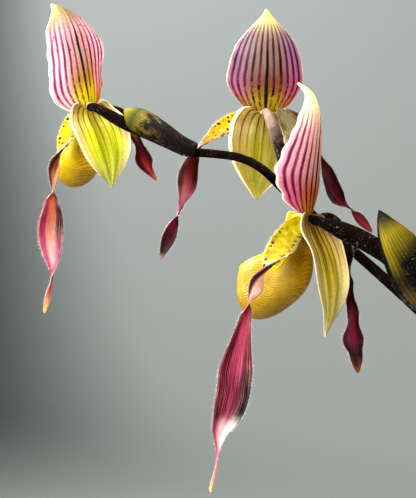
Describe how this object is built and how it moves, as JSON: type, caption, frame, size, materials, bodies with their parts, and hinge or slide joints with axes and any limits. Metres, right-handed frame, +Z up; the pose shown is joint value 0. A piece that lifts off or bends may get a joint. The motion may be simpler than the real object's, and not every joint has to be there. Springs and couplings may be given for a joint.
{
  "type": "potted orchid",
  "caption": "Potted slipper orchid: clay pot of bark, fans of strap leaves, and an arching hairy stem of striped, pouched blooms with long twisted petals.",
  "frame": {"origin": "middle of the pot's foot, on the surface it stands on", "axes": "+Z up along the pot's axis; -X to the side the flower stem arches to; the open blooms face away from -Y"},
  "size_m": [0.4374, 0.2245, 0.5238],
  "materials": {
    "clay": "matt fired clay",
    "bark": "rough bark",
    "root": "matt",
    "leaf": "waxy",
    "stem": "hairy",
    "bract": "downy",
    "sepal": "satin petal",
    "synsepal": "satin petal",
    "pouch": "satin petal",
    "petal": "satin petal",
    "column": "waxy"
  },
  "bodies": {
    "root": {"pot": "clay", "potting_bark": "bark", "rhizome_and_roots": "root", "leaf_1": "leaf", "leaf_2": "leaf", "leaf_3": "leaf", "leaf_4": "leaf", "leaf_5": "leaf", "leaf_6": "leaf", "leaf_7": "leaf", "leaf_8": "leaf", "leaf_9": "leaf", "leaf_10": "leaf", "flower_stem": "stem", "bract_a": "bract", "bract_b": "bract", "bract_c": "bract", "bloom_a_dorsal_sepal": "sepal", "bloom_a_synsepal": "synsepal", "bloom_a_pouch": "pouch", "bloom_a_column": "column", "bloom_a_petal_near": "petal", "bloom_a_petal_far": "petal", "bloom_b_dorsal_sepal": "sepal", "bloom_b_synsepal": "synsepal", "bloom_b_pouch": "pouch", "bloom_b_column": "column", "bloom_b_petal_left": "petal", "bloom_b_petal_right": "petal", "bloom_c_dorsal_sepal": "sepal", "bloom_c_synsepal": "synsepal", "bloom_c_pouch": "pouch", "bloom_c_column": "column", "bloom_c_petal_near": "petal", "bloom_c_petal_far": "petal"}
  },
  "joints": []
}
